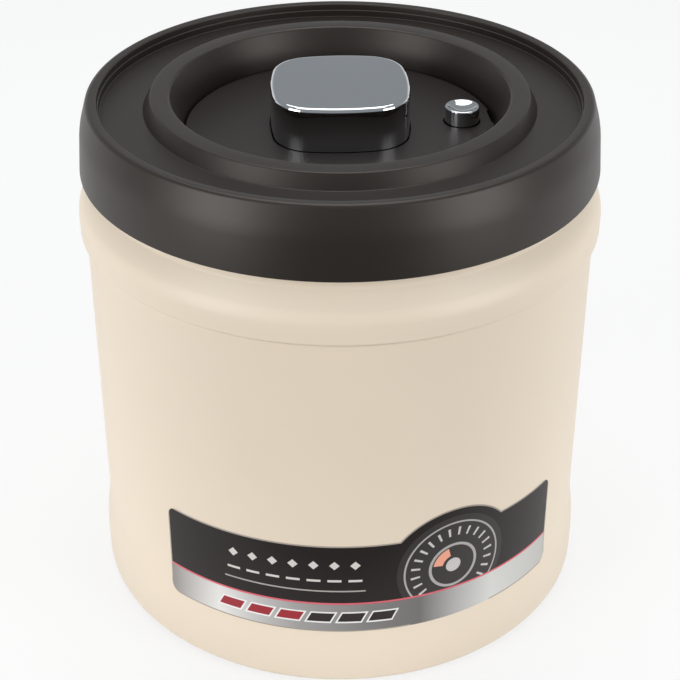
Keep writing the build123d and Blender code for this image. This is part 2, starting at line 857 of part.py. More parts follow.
def pump_button():
    """Plated cap: flat top, rounded edge, bowed sides."""
    low = z_stop + fit_gap
    block = button_prism(0, low, z_button)
    edges = block.faces().sort_by(Axis.Z)[-1].edges()
    block = fillet(edges, button_edge_round)
    return block - button_prism(-button_wall, low - overrun, z_button - button_roof)


def button_carrier():
    """Plastic body inside the plated cap. Its lip stops under the disc."""
    outside = -button_wall - fit_gap
    carrier = button_prism(outside, z_carrier, z_carrier_roof)
    carrier += button_prism(stop_lip, z_carrier, z_stop)
    carrier -= button_prism(outside - carrier_wall, z_carrier - overrun, z_carrier_under)
    carrier += rod(carrier_boss, z_carrier_boss, z_carrier_under + carrier_roof / 2)
    z_head = z_carrier_roof - counterbore_depth
    carrier -= rod(button_screw_head + head_gap, z_head, z_carrier_roof + overrun)
    return carrier - rod(button_screw_shank + screw_play, z_carrier_boss - overrun, z_head + overrun)


def button_screw():
    """Screw from the carrier's boss down into the piston's post."""
    sizes = (button_screw_shank, button_screw_head, button_screw_head_rise, button_screw_length)
    return screw(*sizes, 0, 0, z_carrier_roof - counterbore_depth)


def pump_piston():
    """Piston with a hollow post. Air leaves through the post's windows."""
    radius = cylinder_bore - piston_gap
    hub = radius - piston_rim
    chamber = post_radius - post_wall
    z_groove_low = z_piston + piston_groove_lift
    z_groove_high = z_groove_low + piston_groove_height
    z_chamber = z_web_top + post_chamber_rise
    piston = turned(
        (hub, z_piston, 0),
        (radius, z_piston, piston_edge_round),
        (radius, z_groove_low, 0),
        (radius - piston_groove_depth, z_groove_low, 0),
        (radius - piston_groove_depth, z_groove_high, 0),
        (radius, z_groove_high, 0),
        (radius, z_piston_top, piston_edge_round),
        (hub, z_piston_top, 0),
        (hub, z_web_top, 0),
        (post_radius, z_web_top, post_round),
        (post_radius, z_carrier_boss, piston_edge_round),
        (0, z_carrier_boss, 0),
        (0, z_chamber, 0),
        (chamber, z_chamber, post_round),
        (chamber, z_web_top, 0),
        (0, z_web_top, 0),
        (0, z_web, 0),
        (hub, z_web, 0),
    )
    piston -= valve_holes(z_web - overrun, z_web_top + overrun / 2)
    z_tip = z_carrier_roof - counterbore_depth - button_screw_length
    piston -= rod(button_screw_shank + pilot_gap, z_tip - pilot_gap, z_carrier_boss + overrun)
    window = Pos(chamber - post_wall, 0, z_web_top + window_lift) * extrude(
        Rectangle(post_wall * 3, window_width, align=(Align.MIN, Align.CENTER)), window_height
    )
    for _, _, angle in ring_of(window_count, post_radius):
        piston -= Rot(0, 0, angle) * window
    return piston


def piston_seal():
    """Lip ring in the piston's groove. Its lip points down and wipes the bore."""
    inner = cylinder_bore - piston_gap - piston_groove_depth + fit_gap
    outer = cylinder_bore - slide_gap
    low = z_piston + piston_groove_lift + lip_gap_low
    high = z_piston + piston_groove_lift + piston_groove_height - fit_gap
    return turned(
        (inner, low, 0),
        (inner + lip_body_width, low, 0),
        ((inner + outer) / 2, low + lip_notch_rise, 0),
        (outer - lip_body_width, low, 0),
        (outer, low, 0),
        (outer - piston_gap, high, 0),
        (inner, high, 0),
    )


def pump_spring():
    """Return spring between the cylinder's floor and the piston's web."""
    low = z_cylinder_floor + spring_seat_gap
    high = z_web - spring_seat_gap
    return coil_spring(pump_spring_radius, pump_wire, pump_spring_turns, low, high)


def intake_valve():
    """Umbrella valve in the cylinder's floor. It lets air in from the jar."""
    return umbrella_valve(z_cylinder_floor_low, z_cylinder_floor)


def outlet_valve():
    """Umbrella valve in the piston. It lets air out above the piston."""
    return umbrella_valve(z_web, z_web_top)


def release_button():
    """Small plated button with a dished top, hollow below for its spring."""
    bottom = release_radius - release_wall
    dish = release_radius - release_rim
    button = turned(
        (0, z_release_solid, 0),
        (bottom, z_release_solid, 0),
        (bottom, z_release_low, 0),
        (release_radius, z_release_low, 0),
        (release_radius, z_release, release_edge_round),
        (dish, z_release, 0),
        (0, z_release, 0),
    )
    dish_radius = (dish ** 2 + release_dish_depth ** 2) / (2 * release_dish_depth)
    button -= Pos(0, 0, z_release + dish_radius - release_dish_depth) * Sphere(dish_radius)
    button -= rod(stem_radius + fit_gap, z_release_solid - overrun, z_release_solid + stem_grip)
    return Pos(release_place) * button


def release_stem():
    """Pin from the button down through the lid base to the plug."""
    z_foot = z_release_plug - fit_gap
    stem = turned(
        (0, z_foot - stem_foot_rise, 0),
        (stem_foot_radius, z_foot - stem_foot_rise, stem_foot_rise / 3),
        (stem_foot_radius, z_foot, 0),
        (stem_radius, z_foot, 0),
        (stem_radius, z_release_solid + stem_grip - fit_gap, 0),
        (0, z_release_solid + stem_grip - fit_gap, 0),
    )
    return Pos(release_place) * stem


def release_plug():
    """Soft plug that the spring pulls up against the lid base's floor."""
    inner = stem_radius + fit_gap
    plug = turned(
        (inner, z_release_plug, 0),
        (plug_radius, z_release_plug, plug_round),
        (plug_radius, z_plug - fit_gap, 0),
        (inner, z_plug - fit_gap, 0),
    )
    return Pos(release_place) * plug


def release_spring():
    """Return spring in the release housing, round the stem."""
    low = z_plug_floor + spring_seat_gap
    high = z_release_solid - spring_seat_gap
    sizes = (release_spring_radius, release_wire, release_spring_turns)
    return coil_spring(*sizes, low, high, release_place)


pieces = {
    "outer_shell": outer_shell,
    "base_cover": base_cover,
    "foot_ring": foot_ring,
    "steel_liner": steel_liner,
    "liner_gasket": liner_gasket,
    "neck_ring": neck_ring,
    "front_label": front_label,
    "lid_cover": lid_cover,
    "center_plate": center_plate,
    "lid_base": lid_base,
    "main_seal": main_seal,
    "lid_screws": lid_screws,
    "pump_cylinder": pump_cylinder,
    "cylinder_gasket": cylinder_gasket_ring,
    "cylinder_screws": cylinder_screws,
    "intake_valve": intake_valve,
    "dust_filter": dust_filter,
    "filter_cap": filter_cap,
    "pump_button": pump_button,
    "button_carrier": button_carrier,
    "button_screw": button_screw,
    "pump_piston": pump_piston,
    "piston_seal": piston_seal,
    "outlet_valve": outlet_valve,
    "pump_spring": pump_spring,
    "release_button": release_button,
    "release_stem": release_stem,
    "release_plug": release_plug,
    "release_spring": release_spring,
}

os.makedirs("parts", exist_ok=True)
for name, make in pieces.items():
    export_step(make(), f"parts/{name}.step")
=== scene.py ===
from math import atan2, ceil, cos, degrees, pi, radians, sin, sqrt, tan

import bmesh
import bpy
from mathutils import Matrix, Vector


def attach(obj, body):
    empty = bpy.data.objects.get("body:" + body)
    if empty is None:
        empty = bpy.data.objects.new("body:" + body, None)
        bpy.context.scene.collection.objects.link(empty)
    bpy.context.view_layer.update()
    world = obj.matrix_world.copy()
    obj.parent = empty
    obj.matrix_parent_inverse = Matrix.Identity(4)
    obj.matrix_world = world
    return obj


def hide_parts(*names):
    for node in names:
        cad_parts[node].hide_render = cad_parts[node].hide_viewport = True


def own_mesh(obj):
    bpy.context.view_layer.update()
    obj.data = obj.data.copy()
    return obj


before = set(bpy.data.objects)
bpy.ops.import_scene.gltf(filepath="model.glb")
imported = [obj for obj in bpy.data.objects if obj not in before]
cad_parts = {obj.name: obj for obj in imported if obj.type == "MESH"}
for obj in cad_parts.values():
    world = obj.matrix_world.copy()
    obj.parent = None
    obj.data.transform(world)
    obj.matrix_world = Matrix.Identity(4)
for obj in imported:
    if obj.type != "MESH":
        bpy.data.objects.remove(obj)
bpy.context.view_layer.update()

# Camera. It looks down at the canister from the front through a long lens, as
# the photograph does, and stands a few degrees to the left.
MM = 0.001
turn, tilt = radians(-2.6), radians(58.02)
camera_back, camera_up = 430.7, 341.8
camera_data = bpy.data.cameras.new("camera")
camera_data.lens = 85.9
camera = bpy.data.objects.new("camera", camera_data)
camera.location = Matrix.Rotation(turn, 4, "Z") @ Vector((0, -camera_back, camera_up)) * MM
camera.rotation_euler = (tilt, 0, turn)
bpy.context.collection.objects.link(camera)
bpy.context.scene.camera = camera

# Outer shell. A moulded sleeve of cream satin plastic with a raised band under
# the lid and a flared base. One smooth turned wall, open at both ends.
class Signal:
    """A shader output. Arithmetic on it adds Math nodes to its finish."""

    def __init__(self, finish, socket):
        self.finish = finish
        self.socket = socket

    def math(self, operation, *values):
        return self.finish.add("Math", {"operation": operation}, dict(enumerate(values)))

    def __add__(self, other):
        return self.math("ADD", self, other)

    def __radd__(self, other):
        return self.math("ADD", other, self)

    def __sub__(self, other):
        return self.math("SUBTRACT", self, other)

    def __rsub__(self, other):
        return self.math("SUBTRACT", other, self)

    def __mul__(self, other):
        return self.math("MULTIPLY", self, other)

    def __rmul__(self, other):
        return self.math("MULTIPLY", other, self)


class Finish:
    """The nodes of a material or a world, with one method that adds any node."""

    def __init__(self, holder, output="ShaderNodeOutputMaterial"):
        holder.use_nodes = True
        self.holder = holder
        self.tree = holder.node_tree
        self.tree.nodes.clear()
        self.output = self.tree.nodes.new(output)

    def add(self, kind, settings=None, sockets=None, output=0):
        node = self.tree.nodes.new("ShaderNode" + kind)
        for name, value in (settings or {}).items():
            if name == "stops":
                ramp = node.color_ramp.elements
                while len(ramp) < len(value):
                    ramp.new(0.5)
                for stop, (place, shade) in zip(ramp, value):
                    stop.position = place
                    stop.color = shade
            else:
                setattr(node, name, value)
        for name, value in (sockets or {}).items():
            if isinstance(value, Signal):
                self.tree.links.new(value.socket, node.inputs[name])
            else:
                node.inputs[name].default_value = value
        return Signal(self, node.outputs[output])

    def place(self, scale=(1, 1, 1)):
        """Object coordinates in millimetres, stretched by a scale."""
        coordinates = self.add("TexCoord", output="Object")
        size = [part / MM for part in scale]
        return self.add("Mapping", sockets={"Vector": coordinates, "Scale": size})

    def axes(self, vector):
        """Split a vector into its three numbers."""
        split = self.add("SeparateXYZ", sockets={0: vector})
        return [Signal(self, output) for output in split.socket.node.outputs]

    def noise(self, scale, detail, stretch=(1, 1, 1)):
        sockets = {"Vector": self.place(stretch), "Scale": scale, "Detail": detail}
        return self.add("TexNoise", sockets=sockets, output="Fac")

    def mix(self, factor, first, second):
        """Mix two colours. A Mix node takes them at sockets 6 and 7 and gives output 2."""
        sockets = {0: factor, 6: first, 7: second}
        return self.add("Mix", {"data_type": "RGBA"}, sockets, output=2)

    def bump(self, height, distance):
        return self.add("Bump", sockets={"Height": height, "Distance": distance * MM})

    def surface(self, **sockets):
        named = {name.replace("_", " "): value for name, value in sockets.items()}
        return self.close(self.add("BsdfPrincipled", sockets=named))

    def close(self, shader):
        self.tree.links.new(shader.socket, self.output.inputs["Surface"])
        return self.holder


def colour(red, green, blue):
    """Turn a screen colour of 0 to 255 into the linear colour of a shader socket."""
    return (*[((part / 255 + 0.055) / 1.055) ** 2.4 for part in (red, green, blue)], 1)


def moulded_plastic(name, shade, roughness, grain, gloss, mottle):
    """Injection-moulded plastic: a fine even grain and faint cloudiness."""
    finish = Finish(bpy.data.materials.new(name))
    cloud = finish.noise(0.05, 3.0)
    dark = tuple(part * (1 - mottle) for part in shade[:3]) + (1,)
    light = tuple(min(part * (1 + mottle), 1) for part in shade[:3]) + (1,)
    pores = finish.noise(3.0, 2.0)
    return finish.surface(
        Base_Color=finish.mix(cloud, dark, light),
        Roughness=roughness + (cloud - 0.5) * 0.08 + (pores - 0.5) * 0.06,
        Specular_IOR_Level=gloss,
        Normal=finish.bump(pores, grain),
    )


def first_point(name, place):
    """Start a new piece in edit mode as one point."""
    bpy.ops.object.select_all(action="DESELECT")
    bpy.ops.mesh.primitive_plane_add(size=MM)
    piece = bpy.context.object
    piece.name = piece.data.name = name
    bpy.ops.object.mode_set(mode="EDIT")
    bpy.ops.mesh.merge(type="CENTER")
    bpy.ops.transform.translate(value=place)
    return piece


def pick(piece, kind, wanted):
    """Select the vertices, edges or faces of a piece in edit mode that are wanted."""
    mesh = bmesh.from_edit_mesh(piece.data)
    for element in getattr(mesh, kind):
        if wanted(element):
            element.select_set(True)
    mesh.select_flush_mode()
    bmesh.update_edit_mesh(piece.data)


touching = MM / 1000  # points nearer than this are one point
crease = radians(32)  # edges that bend more than this stay sharp
round_step = 9  # degrees of a rounded corner to each face


def turned(name, outline, steps=192):
    """Draw half of a section, round its corners and spin it about Z.

    The outline lists (radius, height, corner radius) in millimetres."""
    corners = [Vector((radius, 0, height)) * MM for radius, height, _ in outline]
    closed = outline[0][0] > 0 or outline[-1][0] > 0
    ends = corners[1:] + (corners[:1] if closed else [])
    piece = first_point(name, corners[0])
    for start, end in zip(corners, ends):
        bpy.ops.mesh.extrude_region_move(TRANSFORM_OT_translate={"value": end - start})
    bpy.ops.mesh.select_all(action="SELECT")
    bpy.ops.mesh.remove_doubles(threshold=touching)
    for index, (_, _, rounding) in enumerate(outline):
        if rounding:
            here = corners[index]
            before = (corners[index - 1] - here).normalized()
            after = (corners[(index + 1) % len(corners)] - here).normalized()
            bend = pi - before.angle(after)
            bpy.ops.mesh.select_all(action="DESELECT")
            pick(piece, "verts", lambda vertex: (vertex.co - here).length < 2 * touching)
            bpy.ops.mesh.bevel(
                offset=rounding * MM * tan(bend / 2),
                segments=max(3, ceil(degrees(bend) / round_step)),
                affect="VERTICES",
            )
    bpy.ops.mesh.select_all(action="SELECT")
    bpy.ops.mesh.spin(steps=steps, angle=2 * pi, center=(0, 0, 0), axis=(0, 0, 1))
    bpy.ops.mesh.select_all(action="SELECT")
    bpy.ops.mesh.remove_doubles(threshold=touching)
    bpy.ops.mesh.normals_make_consistent(inside=False)
    bpy.ops.object.mode_set(mode="OBJECT")
    bpy.ops.object.shade_smooth_by_angle(angle=crease)
    return piece


def finish_piece(piece, body, slot, material, *nodes):
    """Give a new piece its material, its body and the CAD nodes that it stands for."""
    piece.data.materials.clear()
    piece.data.materials.append(material)
    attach(piece, body)
    if nodes:
        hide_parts(*nodes)


cream = moulded_plastic(
    "cream_satin_plastic",
    colour(224, 209, 189),
    roughness=0.42,
    grain=0.012,
    gloss=0.4,
    mottle=0.012,
)
shell = turned("sleeve", [
    (76.29, 0.6, 2.6),
    (76.29, 14.0, 30),
    (74.89, 24.3, 30),
    (74.89, 117.6, 0.2),
    (76.59, 118.9, 0.9),
    (76.59, 126.5, 7.5),
    (71.8, 133.0, 1.0),
    (71.8, 138.2, 0.2),
    (70.0, 138.2, 0),
    (70.0, 144.4, 0.3),
    (68.4, 144.4, 0.3),
    (68.4, 133.9, 0),
    (74.39, 125.8, 0),
    (74.39, 118.9, 0),
    (72.7, 117.6, 0),
    (72.7, 24.3, 0),
    (73.3, 14.0, 0),
    (73.3, 0.6, 0),
], steps=256)
finish_piece(shell, "canister", "cream_shell", cream, "outer_shell")

# Base cover. The plate glued into the bottom of the sleeve, in the same cream
# plastic. Its groove holds the foot ring.
base = turned("base_plate", [
    (0, 1.2, 0),
    (64.0, 1.2, 0.3),
    (64.0, 2.2, 0),
    (68.6, 2.2, 0),
    (68.6, 1.2, 0.3),
    (73.25, 1.2, 0.2),
    (73.25, 9.6, 0),
    (71.45, 9.6, 0),
    (71.45, 3.6, 0.8),
    (0, 3.6, 0),
])
finish_piece(base, "canister", "cream_shell", cream, "base_cover")


# Foot ring. A plain rubber ring pressed into the base plate's groove. The
# canister stands on it, so it is matt and a little scuffed.
def rubber(name, shade, roughness, scuff=0.15):
    """Soft rubber or silicone: matt, with faint scuffs."""
    finish = Finish(bpy.data.materials.new(name))
    marks = finish.noise(0.6, 5.0)
    pale = tuple(min(part * (1 + scuff) + 0.01, 1) for part in shade[:3]) + (1,)
    return finish.surface(
        Base_Color=finish.mix(marks, shade, pale),
        Roughness=roughness + (marks - 0.5) * 0.2,
        Specular_IOR_Level=0.35,
        Normal=finish.bump(marks, 0.02),
    )


foot = turned("foot_band", [
    (64.05, 0, 0.5),
    (68.55, 0, 0.5),
    (68.55, 2.2, 0),
    (64.05, 2.2, 0),
])
foot_rubber = rubber("foot_rubber", colour(118, 114, 108), roughness=0.7)
finish_piece(foot, "canister", "foot_rubber", foot_rubber, "foot_ring")


# Steel liner. A deep-drawn cup of brushed stainless steel that hangs in the
# sleeve by its flange. Its brushing runs round the wall.
def brushed_steel(name, shade, roughness, stretch):
    """Brushed or drawn steel: fine streaks along one direction."""
    finish = Finish(bpy.data.materials.new(name))
    streaks = finish.noise(1.0, 4.0, stretch)
    soft = finish.noise(0.03, 2.0)
    dark = tuple(part * 0.86 for part in shade[:3]) + (1,)
    return finish.surface(
        Base_Color=finish.mix(streaks, dark, shade),
        Metallic=1.0,
        Roughness=roughness + (streaks - 0.5) * 0.18 + (soft - 0.5) * 0.08,
        Normal=finish.bump(streaks, 0.004),
    )


liner_steel = brushed_steel(
    "brushed_liner_steel", colour(198, 197, 194), roughness=0.3, stretch=(0.02, 0.02, 4.0)
)
liner = turned("steel_cup", [
    (0, 6.6, 0),
    (68.0, 6.6, 10.0),
    (68.0, 145.2, 0.6),
    (69.8, 145.2, 0),
    (69.8, 145.7, 0),
    (67.5, 145.7, 1.1),
    (67.5, 7.1, 9.5),
    (0, 7.1, 0),
])
finish_piece(liner, "canister", "liner_steel", liner_steel, "steel_liner")

# Liner gasket. A thin silicone ring clamped between the sleeve's neck and the
# cup's flange. Only its edges could ever be seen.
silicone = rubber("white_silicone", colour(222, 220, 214), roughness=0.5, scuff=0.05)


def dress(material, *nodes):
    """Give CAD nodes that keep their own shape a node material."""
    for node in nodes:
        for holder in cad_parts[node].material_slots:
            holder.material = material


dress(silicone, "liner_gasket")

# Neck ring. A cream ring pressed over the neck to trap the cup's flange. The lid
# rests on its rounded top, which shows round the open mouth.
neck = turned("mouth_ring", [
    (67.9, 145.7, 0),
    (67.9, 148.4, 0.7),
    (71.55, 148.4, 0.7),
    (71.55, 138.5, 0.2),
    (70.05, 138.5, 0),
    (70.05, 145.7, 0),
])
finish_piece(neck, "canister", "cream_shell", cream, "neck_ring")

# Label. A die-cut film sticker on the front wall: a dark field and a silver band
# with plain geometric marks, and a thin pale edge. It is drawn flat, cut into
# small faces, wrapped round the wall and pressed onto the flare of the base.
label_radius = 75.05
label_left, label_right = -58.4, 70.3
label_low, label_top = 20.0, 51.2
label_corner, label_faces = 3.5, 2
film_thickness, film_lift = 0.14, 0.08
bulge_middle, bulge_height, bulge_radius = 30.5, 37.1, 21.8
bulge_rise = label_top - bulge_height
half_chord = sqrt(bulge_radius**2 - bulge_rise**2)

label = first_point("sticker", Vector((label_left, 0, label_top)) * MM)
for across, up in (
    (0, label_low - label_top),
    (label_right - label_left, 0),
    (0, label_top - label_low),
    (bulge_middle + half_chord - label_right, 0),
):
    side = Vector((across, 0, up)) * MM
    bpy.ops.mesh.extrude_region_move(TRANSFORM_OT_translate={"value": side})
bpy.ops.mesh.spin(
    steps=40,
    angle=2 * atan2(half_chord, bulge_rise),
    center=Vector((bulge_middle, 0, bulge_height)) * MM,
    axis=(0, 1, 0),
)
bpy.ops.mesh.select_all(action="SELECT")
bpy.ops.mesh.edge_face_add()
for across in (label_left, label_right):
    for up in (label_low, label_top):
        corner = Vector((across, 0, up)) * MM
        bpy.ops.mesh.select_all(action="DESELECT")
        pick(label, "verts", lambda vertex: (vertex.co - corner).length < 10 * touching)
        bpy.ops.mesh.bevel(offset=label_corner * MM, segments=8, affect="VERTICES")
for across in range(ceil(label_left), ceil(label_right), label_faces):
    bpy.ops.mesh.select_all(action="SELECT")
    bpy.ops.mesh.bisect(plane_co=(across * MM, 0, 0), plane_no=(1, 0, 0))
for up in range(ceil(label_low) + 1, ceil(label_top), label_faces):
    bpy.ops.mesh.select_all(action="SELECT")
    bpy.ops.mesh.bisect(plane_co=(0, 0, up * MM), plane_no=(0, 0, 1))
bpy.ops.object.mode_set(mode="OBJECT")
for vertex in label.data.vertices:
    swing = vertex.co.x / (label_radius * MM)
    vertex.co.x = label_radius * MM * sin(swing)
    vertex.co.y = -label_radius * MM * cos(swing)
press = label.modifiers.new("press", "SHRINKWRAP")
press.target = shell
press.wrap_mode = "OUTSIDE_SURFACE"
press.offset = film_lift * MM
bpy.ops.object.modifier_apply(modifier=press.name)
film = label.modifiers.new("film", "SOLIDIFY")
film.thickness = film_thickness * MM
film.offset = 1
bpy.ops.object.modifier_apply(modifier=film.name)
bpy.ops.object.shade_smooth_by_angle(angle=crease)

printed = Finish(bpy.data.materials.new("printed_label"))
left_right, front_back, height = printed.axes(printed.place())
around = left_right.math("ARCTAN2", left_right, 0 - front_back) * label_radius


def above(value, limit, softness=0.06):
    """Fade from 0 to 1 over a short way where a value rises past a limit."""
    ramp = {"Value": value, "From Min": limit - softness, "From Max": limit + softness}
    return printed.add("MapRange", sockets=ramp)


def under(value, limit, softness=0.06):
    return 1 - above(value, limit, softness)


def between(value, start, end):
    return above(value, start) * under(value, end)


def size_of(value):
    return value.math("ABSOLUTE", value)


def most(first, second):
    return first.math("MAXIMUM", first, second)


def least(first, second):
    return first.math("MINIMUM", first, second)


def inside(value, start, end):
    """Measure how far a value is from the nearer end of a range."""
    return (end - start) / 2 - size_of(value - (end + start) / 2)


def repeated(value, start, pitch):
    """Measure the distance from the middle of the nearest cell of a row."""
    return size_of((value - start).math("MODULO", value - start, pitch) - pitch / 2)


def away_from(across, up):
    """Measure the distance along the film from a point of the label."""
    squares = (around - across) * (around - across) + (height - up) * (height - up)
    return squares.math("SQRT", squares)


silver_top, red_top = 29.8, 30.4
edge_width = 0.45
strip_depth = least(
    inside(around, label_left, label_right), inside(height, label_low, label_top)
)
bulge_depth = bulge_radius - away_from(bulge_middle, bulge_height)
pale_edge = under(most(strip_depth, bulge_depth), edge_width)
silver_zone = under(height, silver_top)
red_line = between(height, silver_top, red_top)

# The marks on the dark field: a row of small diamonds, a row of short bars and
# a thin line.
row_start, row_end, row_pitch = -38, 4, 6.0
diamond_height, bar_height, line_height = 44.2, 38.6, 34.8
diamond_half, bar_reach, bar_half, line_half = 1.5, 1.6, 0.4, 0.25
in_row = between(around, row_start, row_end)
row_cell = repeated(around, row_start - row_pitch, row_pitch)
diamonds = under(row_cell + size_of(height - diamond_height), diamond_half)
small_bars = under(most(row_cell - bar_reach, size_of(height - bar_height)), bar_half)
long_line = under(size_of(height - line_height), line_half)
row_marks = most(most(diamonds, small_bars), long_line * 0.6) * in_row

# The dial in the bulge: a ring of ticks between two plain rings, a hub and a
# short coral arc on a lighter disc. Its angles are in degrees.
dial_height, dial_radius = bulge_height + 1.5, 17.5
tick_start, tick_end, tick_pitch, tick_half = 10.6, 13.4, 15.0, 1.7
ring_outer, ring_inner, ring_outer_half, ring_inner_half = 15.2, 7.4, 0.28, 0.45
hub_radius, arc_radius, arc_half, arc_start, arc_end = 2.4, 5.0, 1.5, 285, 350
from_dial = away_from(bulge_middle, dial_height)
compass = around.math("ARCTAN2", height - dial_height, around - bulge_middle)
compass = compass * degrees(1) + 180
ticks = under(repeated(compass, 0, tick_pitch), tick_half, 0.3)
ticks = ticks * between(from_dial, tick_start, tick_end)
outer_line = under(size_of(from_dial - ring_outer), ring_outer_half)
inner_line = under(size_of(from_dial - ring_inner), ring_inner_half)
hub = under(from_dial, hub_radius)
dial_marks = most(most(ticks, most(outer_line, inner_line) * 0.7), hub)
coral_arc = under(size_of(from_dial - arc_radius), arc_half)
coral_arc = coral_arc * between(compass, arc_start, arc_end)

# The slanted bars on the silver band, each with a thin light edge. The first
# three are red and the others nearly black.
slant_start, slant_end, slant_pitch = -53, 1, 9.0
slant_height, slant_lean, slant_reach = 25.0, 0.5, 1.9
slant_half, slant_rim, red_end = 1.5, 0.5, -26
slant = around - height * slant_lean
slant_row = between(slant, slant_start, slant_end)
slant_cell = repeated(slant, slant_start, slant_pitch)
slant_depth = most(slant_cell - slant_reach, size_of(height - slant_height))
slanted = under(slant_depth, slant_half) * slant_row
slant_edge = under(slant_depth, slant_half + slant_rim) * slant_row
red_bars = under(slant, red_end)

# The inks, each printed over the last. The silver band's colour ramp is painted reflection:
# it is lighter near its ends than in its middle.
field = printed.mix(printed.noise(0.08, 2.0), colour(24, 18, 16), colour(30, 24, 22))
band = {"Value": around, "From Min": label_left, "From Max": label_right}
# painted reflections along the silver band, lighter towards its ends
silver_with_painted_reflections = printed.add("ValToRGB", {"stops": [
    (0.0, colour(138, 133, 130)),
    (0.14, colour(222, 219, 216)),
    (0.24, colour(188, 186, 184)),
    (0.33, colour(158, 156, 154)),
    (0.5, colour(126, 124, 122)),
    (0.61, colour(112, 110, 108)),
    (0.7, colour(172, 170, 168)),
    (0.8, colour(208, 208, 204)),
    (1.0, colour(184, 182, 178)),
]}, {0: printed.add("MapRange", sockets=band)})
artwork = field
for mask, ink in (
    (under(from_dial, dial_radius) * 0.6, colour(60, 57, 56)),
    (row_marks, colour(206, 201, 196)),
    (dial_marks, colour(196, 192, 189)),
    (silver_zone, silver_with_painted_reflections),
    (slant_edge * silver_zone, colour(236, 234, 232)),
    (slanted * red_bars, colour(150, 40, 50)),
    (slanted * (1 - red_bars), colour(44, 36, 36)),
    (red_line, colour(214, 96, 108)),
    (coral_arc, colour(232, 160, 134)),
    (pale_edge, colour(160, 150, 141)),
):
    artwork = printed.mix(mask, artwork, ink)
label_film = printed.surface(
    Base_Color=artwork,
    Roughness=0.34 + printed.noise(0.4, 2.0) * 0.06,
    Metallic=silver_zone * (1 - slanted) * 0.2,
    Specular_IOR_Level=0.28,
)
finish_piece(label, "canister", "label_film", label_film, "front_label")

# Lid base. The lower moulding of the lid, in off-white plastic like the filter
# cap. Its plug goes into the mouth, and its floor carries the pump and the valve.
off_white = moulded_plastic(
    "off_white_plastic",
    colour(224, 218, 206),
    roughness=0.45,
    grain=0.01,
    gloss=0.4,
    mottle=0.012,
)
dress(off_white, "lid_base", "filter_cap")

# Main seal. A silicone ring with two fins in the plug's groove. The fins wipe
# the steel cup when the lid goes on. The pump cylinder's gasket is silicone too.
dress(silicone, "main_seal", "cylinder_gasket")


# Lid cover. The top of the lid, moulded in dark brown plastic with a fine
# eroded texture: skirt, rim, channel, ridge and bowl in one piece.
def eroded_plastic(name, shade, roughness):
    """Dark plastic with the fine even texture of an eroded mould."""
    finish = Finish(bpy.data.materials.new(name))
    grain = finish.noise(5.0, 3.0)
    cloud = finish.noise(0.04, 3.0)
    worn = tuple(part * 1.12 for part in shade[:3]) + (1,)
    return finish.surface(
        Base_Color=finish.mix(cloud, shade, worn),
        Roughness=roughness + (cloud - 0.5) * 0.06 + (grain - 0.5) * 0.1,
        Specular_IOR_Level=0.5,
        Specular_Tint=(1.0, 0.92, 0.87, 1),
        Normal=finish.bump(grain, 0.02),
    )


def cut(piece, *cutters):
    """Cut each cutter out of a piece and throw the cutter away."""
    for cutter in cutters:
        bite = piece.modifiers.new("bite", "BOOLEAN")
        bite.object = cutter
        bite.solver = "EXACT"
        bpy.context.view_layer.objects.active = piece
        bpy.ops.object.modifier_apply(modifier=bite.name)
        bpy.data.objects.remove(cutter)


def pin(radius, low, high, place, sides=48):
    """Make an upright rod as a cutter, in millimetres."""
    bpy.ops.object.select_all(action="DESELECT")
    bpy.ops.mesh.primitive_cylinder_add(
        vertices=sides,
        radius=radius * MM,
        depth=(high - low) * MM,
        location=Vector((*place, (low + high) / 2)) * MM,
    )
    bpy.ops.object.transform_apply()
    return bpy.context.object


brown = eroded_plastic("dark_brown_satin_plastic", colour(30, 25, 22), roughness=0.42)
release_across = 35.3
screw_circle, screw_hole, guide_hole = 40.6, 1.6, 5.9
under_web, over_web = 140, 144
cover = turned("lid_top", [
    (75.39, 136.9, 0.3),
    (74.44, 149.6, 22),
    (72.2, 157.35, 1.4),
    (69.15, 157.1, 0.5),
    (69.05, 155.2, 0.1),
    (68.78, 155.05, 0.1),
    (68.7, 153.1, 0.3),
    (56.3, 153.1, 0.4),
    (54.1, 157.3, 0.7),
    (48.7, 157.3, 0.9),
    (46.3, 151.5, 20),
    (45.1, 146.6, 0),
    (45.1, 142.9, 0),
    (37.4, 142.9, 0),
    (37.4, 140.9, 0),
    (47.3, 140.9, 0),
    (48.5, 151.5, 0),
    (50.9, 155.1, 0),
    (51.9, 155.1, 0),
    (54.1, 150.9, 0),
    (72.45, 150.9, 0),
    (73.4, 136.9, 0.3),
], steps=256)
holes = []
for angle in range(30, 390, 60):
    place = (screw_circle * cos(radians(angle)), screw_circle * sin(radians(angle)))
    holes.append(pin(screw_hole, under_web, over_web, place))
holes.append(pin(guide_hole, under_web, over_web, (release_across, 0)))
cut(cover, *holes)
bpy.ops.object.shade_smooth_by_angle(angle=crease)
finish_piece(cover, "lid", "brown_lid", brown, "lid_cover")

# Centre plate. A disc of the same brown plastic snapped into the bowl over the screws, with
# holes for both buttons and a notch to pry it out by. Its copy of the brown is a little
# darker, as painted shade.
button_half, button_bow, button_corner = 20, 60, 11.4
side_steps, corner_steps = 12, 20


